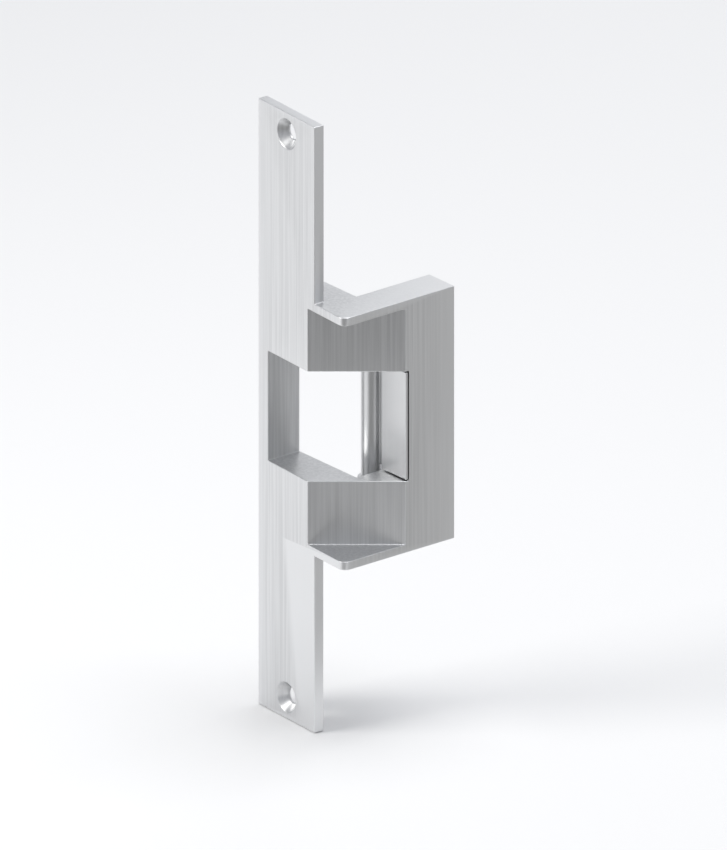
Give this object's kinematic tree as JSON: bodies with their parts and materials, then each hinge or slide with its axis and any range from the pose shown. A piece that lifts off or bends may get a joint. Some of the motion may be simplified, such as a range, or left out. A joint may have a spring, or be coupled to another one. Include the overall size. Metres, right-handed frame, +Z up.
{
  "type": "electric door strike",
  "caption": "Electric door strike: tall narrow faceplate with a wrap-round lip, ramped latch notch, swinging keeper and a solenoid lock behind it.",
  "frame": {"origin": "centre of the faceplate's lower end face", "axes": "+Z up along the faceplate, +X across it towards the lip, +Y into the door frame, so the face seen on the door edge looks along -Y"},
  "size_m": [0.0513, 0.0499, 0.2286],
  "materials": {
    "casting": "satin stainless, fine brushed along the plate",
    "keeper": "satin stainless, lightly rubbed where the latch slides",
    "dark_steel": "hardened ground steel, oiled",
    "spring_steel": "bright drawn spring wire",
    "zinc_steel": "clear zinc plated pressed steel",
    "brass": "turned brass",
    "black_plastic": "moulded black nylon",
    "grey_plastic": "moulded grey acetal",
    "terminal_green": "moulded green nylon",
    "coil_tape": "amber insulating tape over the winding",
    "red_wire": "red lead insulation",
    "black_wire": "black lead insulation",
    "rubber": "soft black rubber"
  },
  "bodies": {
    "root": {"strike_casting": "casting", "lever_pivot_pin": "dark_steel", "fixed_core": "dark_steel", "keeper_spring": "spring_steel", "lever_spring": "spring_steel", "lever_clip": "spring_steel", "chassis_plate": "zinc_steel", "chassis_screw_1": "zinc_steel", "chassis_screw_2": "zinc_steel", "solenoid_frame": "zinc_steel", "mechanism_cover": "zinc_steel", "cover_screw_1": "zinc_steel", "cover_screw_2": "zinc_steel", "terminal_screw_1": "zinc_steel", "terminal_screw_2": "zinc_steel", "upper_bush": "brass", "lower_bush": "brass", "lever_spacer": "brass", "cover_post_1": "brass", "cover_post_2": "brass", "coil_bobbin": "black_plastic", "switch_body": "black_plastic", "terminal_block": "terminal_green", "coil_winding": "coil_tape", "coil_lead_red": "red_wire", "coil_lead_black": "black_wire", "wire_grommet": "rubber"},
    "keeper": {"keeper": "keeper", "keeper_pin": "dark_steel", "lock_cam": "dark_steel", "cam_set_screw": "dark_steel", "pin_clip": "spring_steel"},
    "lock_lever": {"lock_lever": "zinc_steel"},
    "plunger": {"plunger": "dark_steel"},
    "switch_button": {"switch_button": "grey_plastic"}
  },
  "joints": [
    {"name": "keeper_swing", "type": "hinge", "parent": "root", "child": "keeper", "pos_m": [0.01061, 0.02757, 0.1143], "axis": [0, 0, -1], "range_deg": [0, 90], "stiffness_Nm_per_rad": 0.02, "springref_deg": 108.86, "deforming": ["keeper_spring"]},
    {"name": "plunger_slide", "type": "slide", "parent": "root", "child": "plunger", "axis": [0.0624, -0.998, 0], "range_m": [0, 0.0028], "stiffness_N_per_m": 300, "springref_m": -0.002},
    {"name": "lever_turn", "type": "hinge", "parent": "root", "child": "lock_lever", "pos_m": [0.0011, 0.01946, 0.1143], "axis": [0, 0, 1], "range_deg": [0, 17.2], "deforming": ["lever_spring"]},
    {"name": "switch_press", "type": "slide", "parent": "root", "child": "switch_button", "axis": [-0.998, -0.0624, 0], "range_m": [0, 0.0008], "stiffness_N_per_m": 400}
  ],
  "couplings": [
    {"joint": "lever_turn", "follows": "plunger_slide", "rad_per_m": 107.21}
  ]
}
